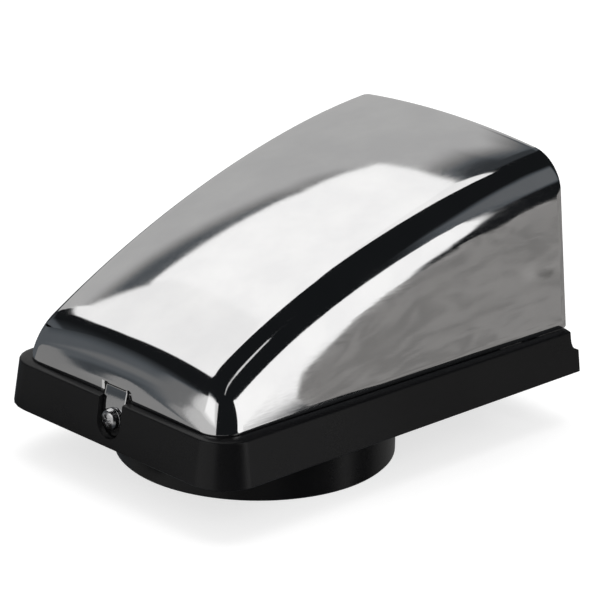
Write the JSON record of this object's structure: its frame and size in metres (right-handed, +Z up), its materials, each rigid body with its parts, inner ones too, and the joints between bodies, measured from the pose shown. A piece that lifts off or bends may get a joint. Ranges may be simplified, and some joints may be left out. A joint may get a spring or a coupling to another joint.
{
  "type": "cowl vent",
  "caption": "Low clamshell cowl vent: a polished hood open at one end, slid onto a black flanged base with a round duct spigot and held by a screw at the nose.",
  "frame": {"origin": "on the axis of the duct spigot, in the plane of the base's underside, which is the deck's face", "axes": "+X from the nose towards the open mouth, +Z up from the deck, +Y to the side away from the camera"},
  "size_m": [0.1793, 0.1198, 0.1066],
  "materials": {
    "black_moulding": "satin moulded",
    "polished_stainless": "mirror-polished stainless steel",
    "plain_stainless": "as rolled",
    "screw_stainless": "bright",
    "brass": "turned"
  },
  "bodies": {
    "base": {"base": "black_moulding", "screw_insert": "brass"},
    "hood": {"hood": "polished_stainless", "rear_hook_left": "plain_stainless", "rear_hook_right": "plain_stainless"},
    "screw": {"hood_screw": "screw_stainless"}
  },
  "joints": [
    {"name": "hood_slide", "type": "slide", "parent": "base", "child": "hood", "axis": [-1, 0, 0], "range_m": [0, 0.011]},
    {"name": "screw_withdraw", "type": "slide", "parent": "hood", "child": "screw", "axis": [-1, 0, 0], "range_m": [0, 0.01]}
  ]
}
